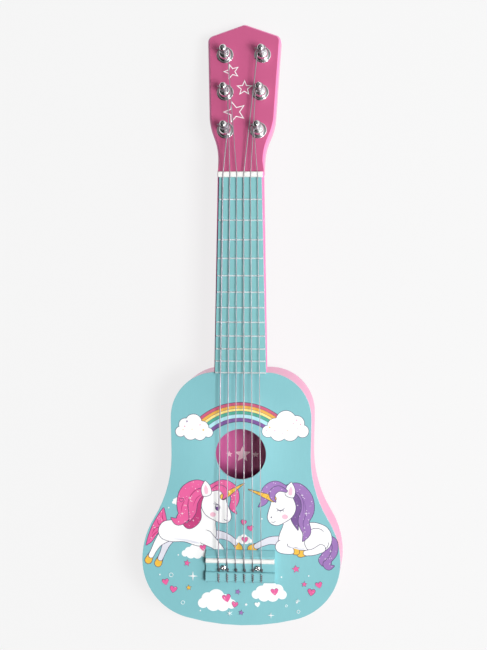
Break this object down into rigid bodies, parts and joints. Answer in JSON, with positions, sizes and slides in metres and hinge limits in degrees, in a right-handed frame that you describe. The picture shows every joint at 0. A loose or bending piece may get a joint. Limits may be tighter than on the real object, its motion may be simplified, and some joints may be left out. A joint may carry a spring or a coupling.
{
  "type": "toy acoustic guitar",
  "caption": "Small hollow toy guitar with a round sound hole, a bolted-on neck, a leaning head and friction tuning pegs that turn.",
  "frame": {"origin": "centre of the footprint, on the plane of the back plate's outer face that the guitar lies on", "axes": "+Z out of the front, +Y from the tail towards the tip of the head, +X towards the thin strings"},
  "size_m": [0.1754, 0.5294, 0.066],
  "materials": {
    "painted_top": "satin clear coat over a printed picture",
    "painted_sides": "satin paint",
    "painted_neck": "satin paint",
    "painted_head": "satin paint",
    "painted_fretboard": "satin paint",
    "painted_bridge": "satin paint",
    "bare_wood": "sanded",
    "label": "printed paper",
    "white_plastic": "moulded, gloss",
    "peg_plastic": "moulded, gloss",
    "chrome": "polished",
    "steel": "zinc plated",
    "fret_wire": "drawn wire",
    "string_steel": "drawn wire"
  },
  "bodies": {
    "guitar": {"top_plate": "painted_top", "back_plate": "painted_sides", "rib_left": "painted_sides", "rib_right": "painted_sides", "neck_block": "bare_wood", "tail_block": "bare_wood", "top_linings": "bare_wood", "back_linings": "bare_wood", "top_brace_upper": "bare_wood", "top_brace_lower": "bare_wood", "back_brace_upper": "bare_wood", "back_brace_lower": "bare_wood", "bridge_plate": "bare_wood", "inner_label": "label", "neck": "painted_neck", "head": "painted_neck", "head_veneer": "painted_head", "fretboard": "painted_fretboard", "frets": "fret_wire", "nut": "white_plastic", "bridge": "painted_bridge", "saddle": "white_plastic", "bridge_bolts": "chrome", "bridge_washers": "steel", "bridge_nuts": "steel", "neck_screws": "steel", "neck_screw_washers": "steel", "peg_washers": "chrome", "peg_bushings": "chrome", "peg_rear_washers": "chrome", "string_1": "string_steel", "string_2": "string_steel", "string_3": "string_steel", "string_4": "string_steel", "string_5": "string_steel", "string_6": "string_steel"},
    "peg_1": {"peg_post_1": "chrome", "peg_button_1": "peg_plastic", "peg_screw_1": "steel", "string_wind_1": "string_steel"},
    "peg_2": {"peg_post_2": "chrome", "peg_button_2": "peg_plastic", "peg_screw_2": "steel", "string_wind_2": "string_steel"},
    "peg_3": {"peg_post_3": "chrome", "peg_button_3": "peg_plastic", "peg_screw_3": "steel", "string_wind_3": "string_steel"},
    "peg_4": {"peg_post_4": "chrome", "peg_button_4": "peg_plastic", "peg_screw_4": "steel", "string_wind_4": "string_steel"},
    "peg_5": {"peg_post_5": "chrome", "peg_button_5": "peg_plastic", "peg_screw_5": "steel", "string_wind_5": "string_steel"},
    "peg_6": {"peg_post_6": "chrome", "peg_button_6": "peg_plastic", "peg_screw_6": "steel", "string_wind_6": "string_steel"}
  },
  "joints": [
    {"name": "peg_1_turn", "type": "hinge", "parent": "guitar", "child": "peg_1", "pos_m": [0.0144, 0.17082, 0.04537], "axis": [0, 0.2588, 0.9659], "continuous": true},
    {"name": "peg_2_turn", "type": "hinge", "parent": "guitar", "child": "peg_2", "pos_m": [0.01545, 0.20414, 0.03644], "axis": [0, 0.2588, 0.9659], "continuous": true},
    {"name": "peg_3_turn", "type": "hinge", "parent": "guitar", "child": "peg_3", "pos_m": [0.0165, 0.23747, 0.02751], "axis": [0, 0.2588, 0.9659], "continuous": true},
    {"name": "peg_4_turn", "type": "hinge", "parent": "guitar", "child": "peg_4", "pos_m": [-0.0165, 0.23747, 0.02751], "axis": [0, 0.2588, 0.9659], "continuous": true},
    {"name": "peg_5_turn", "type": "hinge", "parent": "guitar", "child": "peg_5", "pos_m": [-0.01545, 0.20414, 0.03644], "axis": [0, 0.2588, 0.9659], "continuous": true},
    {"name": "peg_6_turn", "type": "hinge", "parent": "guitar", "child": "peg_6", "pos_m": [-0.0144, 0.17082, 0.04537], "axis": [0, 0.2588, 0.9659], "continuous": true}
  ]
}
